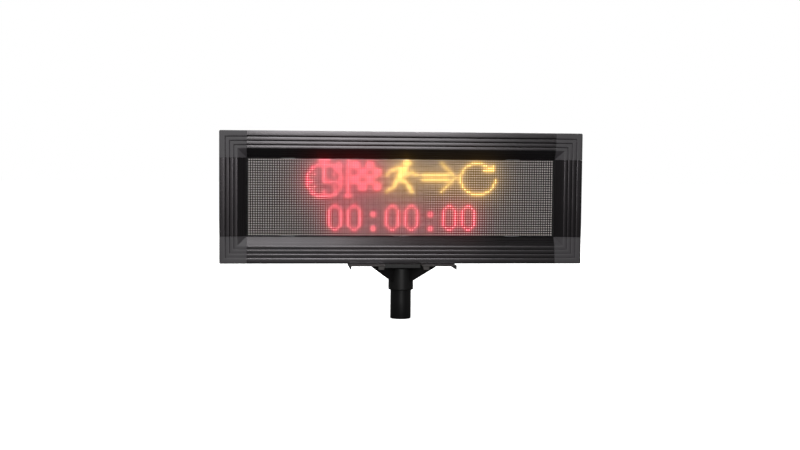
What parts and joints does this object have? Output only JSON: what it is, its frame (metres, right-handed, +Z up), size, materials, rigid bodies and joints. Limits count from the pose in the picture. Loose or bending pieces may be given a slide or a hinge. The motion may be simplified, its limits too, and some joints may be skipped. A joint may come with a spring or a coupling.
{
  "type": "led dot-matrix sign head",
  "caption": "Flat LED dot-matrix sign head with an aluminium frame, clear window and a ribbed socket that turns on a stand mast.",
  "frame": {"origin": "centre of the mast's flat lower end, on the mast axis", "axes": "+Z up along the mast, +X along the display's width, display faces -Y"},
  "size_m": [0.6048, 0.1, 0.3131],
  "materials": {
    "anodised_rail": "black satin anodised extrusion",
    "corner_plastic": "dark grey moulded plastic, fine grain",
    "casting": "black powder coated casting",
    "tray_paint": "black painted folded steel sheet",
    "mast_paint": "black satin paint on steel tube",
    "clear_acrylic": "clear polished sheet",
    "led_mask": "black mask with off-white lamp faces",
    "foam": "black closed-cell foam",
    "circuit_board": "green solder resist",
    "zinc_steel": "zinc plated steel",
    "supply_metal": "bare pressed aluminium",
    "black_plastic": "black moulded plastic",
    "ribbon_grey": "grey ribbon cable insulation",
    "lead_black": "black flexible cable sheath",
    "brass": "turned brass",
    "cover_metal": "black anodised sheet"
  },
  "bodies": {
    "mast": {"mast_tube": "mast_paint", "mast_foot_plug": "black_plastic", "mast_top_cap": "black_plastic"},
    "head": {"pole_socket": "casting", "support_tray": "tray_paint", "clamp_insert": "brass", "rail_top": "anodised_rail", "rail_bottom": "anodised_rail", "rail_left": "anodised_rail", "rail_right": "anodised_rail", "corner_top_left": "corner_plastic", "corner_top_right": "corner_plastic", "corner_bottom_left": "corner_plastic", "corner_bottom_right": "corner_plastic", "front_window": "clear_acrylic", "window_seal": "foam", "led_mask_left": "led_mask", "led_mask_right": "led_mask", "led_board_left": "circuit_board", "led_board_right": "circuit_board", "module_frame_left": "black_plastic", "module_frame_right": "black_plastic", "module_bar_1": "zinc_steel", "module_bar_2": "zinc_steel", "module_bar_3": "zinc_steel", "power_supply": "supply_metal", "control_card": "circuit_board", "card_spacer_1": "brass", "card_spacer_2": "brass", "ribbon_cable_link": "ribbon_grey", "supply_lead": "lead_black", "module_lead_left": "lead_black", "module_lead_right": "lead_black", "back_cover": "cover_metal", "power_inlet": "black_plastic", "switch_housing": "black_plastic", "data_jack": "black_plastic", "button_housing": "black_plastic", "tray_bolt_1": "zinc_steel", "tray_nut_1": "zinc_steel", "tray_bolt_2": "zinc_steel", "tray_nut_2": "zinc_steel", "tray_bolt_3": "zinc_steel", "tray_nut_3": "zinc_steel", "tray_bolt_4": "zinc_steel", "tray_nut_4": "zinc_steel", "cover_screw_1": "zinc_steel", "cover_screw_2": "zinc_steel", "cover_screw_3": "zinc_steel", "cover_screw_4": "zinc_steel", "cover_screw_5": "zinc_steel", "cover_screw_6": "zinc_steel"},
    "clamp": {"clamp_knob": "black_plastic", "clamp_screw": "zinc_steel"},
    "rocker": {"switch_rocker": "black_plastic"},
    "test_button": {"test_button": "black_plastic"}
  },
  "joints": [
    {"name": "head_swivel", "type": "hinge", "parent": "mast", "child": "head", "pos_m": [0, 0, 0.0665], "axis": [0, 0, 1], "continuous": true},
    {"name": "clamp_knob_turn", "type": "hinge", "parent": "head", "child": "clamp", "pos_m": [0, 0.04, 0.061], "axis": [0, 1, 0], "range_deg": [0, 720]},
    {"name": "switch_rock", "type": "hinge", "parent": "head", "child": "rocker", "pos_m": [0.166, 0.034, 0.15], "axis": [1, 0, 0], "range_deg": [0, 16]},
    {"name": "test_button_press", "type": "slide", "parent": "head", "child": "test_button", "axis": [0, -1, 0], "range_m": [0, 0.0015], "stiffness_N_per_m": 250}
  ]
}
